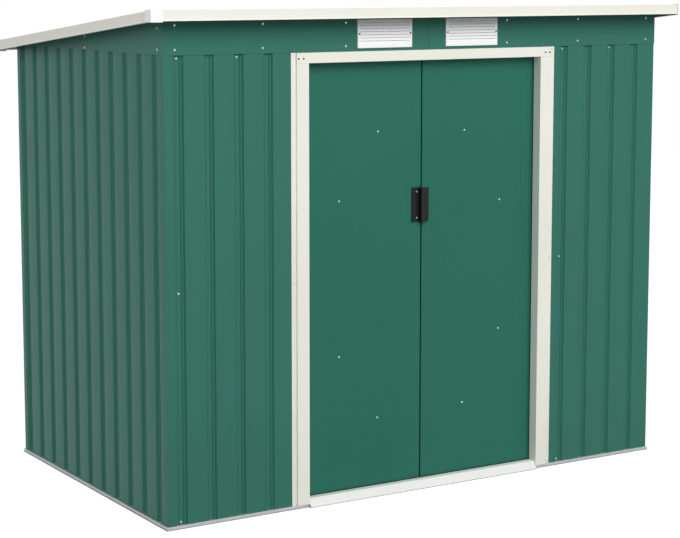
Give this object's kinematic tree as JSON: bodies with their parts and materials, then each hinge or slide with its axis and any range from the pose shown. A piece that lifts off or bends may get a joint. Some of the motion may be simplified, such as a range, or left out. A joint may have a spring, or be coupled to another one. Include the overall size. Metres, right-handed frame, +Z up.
{
  "type": "metal storage shed",
  "caption": "Small metal garden storage shed with ribbed sheet walls, a single-pitch roof falling to the rear, louvred vents and sliding double doors.",
  "frame": {"origin": "middle of the roof's outline, on the ground plane that the base rails stand on", "axes": "+Z up, +X along the front towards its right end seen from outside, +Y towards the rear; the doors face -Y"},
  "size_m": [2.13, 1.27, 1.645],
  "materials": {
    "wall_green": "satin paint on ribbed steel sheet",
    "roof_green": "satin paint on ribbed steel sheet",
    "door_green": "satin paint on finely ribbed steel sheet",
    "cream_trim": "satin cream paint on folded steel",
    "white_metal": "satin white paint on folded steel",
    "galvanised": "dull zinc-coated folded steel",
    "white_plastic": "moulded, faint grain",
    "black_plastic": "moulded, satin",
    "nylon": "moulded"
  },
  "bodies": {
    "shed": {"base_rail_front": "galvanised", "base_rail_rear": "galvanised", "base_rail_left": "galvanised", "base_rail_right": "galvanised", "threshold_ramp": "white_metal", "front_wall_left": "wall_green", "front_wall_right": "wall_green", "left_wall": "wall_green", "right_wall": "wall_green", "rear_wall": "wall_green", "front_gable_left": "wall_green", "front_gable_right": "wall_green", "side_gable_left": "wall_green", "side_gable_right": "wall_green", "corner_post_front_left": "galvanised", "corner_post_front_right": "galvanised", "corner_post_rear_left": "galvanised", "corner_post_rear_right": "galvanised", "top_rail_front": "galvanised", "top_rail_rear": "galvanised", "top_rail_left": "galvanised", "top_rail_right": "galvanised", "roof_beam": "galvanised", "roof_sheet_1": "roof_green", "roof_sheet_2": "roof_green", "roof_sheet_3": "roof_green", "roof_sheet_4": "roof_green", "fascia_front": "cream_trim", "fascia_rear": "cream_trim", "fascia_left": "cream_trim", "fascia_right": "cream_trim", "corner_caps": "white_plastic", "door_jamb_left": "cream_trim", "door_jamb_right": "cream_trim", "door_header": "cream_trim", "door_top_track": "galvanised", "door_bottom_track": "galvanised", "vent_left": "white_plastic", "vent_right": "white_plastic"},
    "left_leaf": {"door_leaf_left": "door_green", "leaf_braces_left": "galvanised", "leaf_sliders_left": "nylon", "door_pull": "black_plastic"},
    "right_leaf": {"door_leaf_right": "door_green", "leaf_braces_right": "galvanised", "leaf_sliders_right": "nylon"}
  },
  "joints": [
    {"name": "left_leaf_slide", "type": "slide", "parent": "shed", "child": "left_leaf", "axis": [-1, 0, 0], "range_m": [0, 0.415]},
    {"name": "right_leaf_slide", "type": "slide", "parent": "shed", "child": "right_leaf", "axis": [1, 0, 0], "range_m": [0, 0.415]}
  ]
}
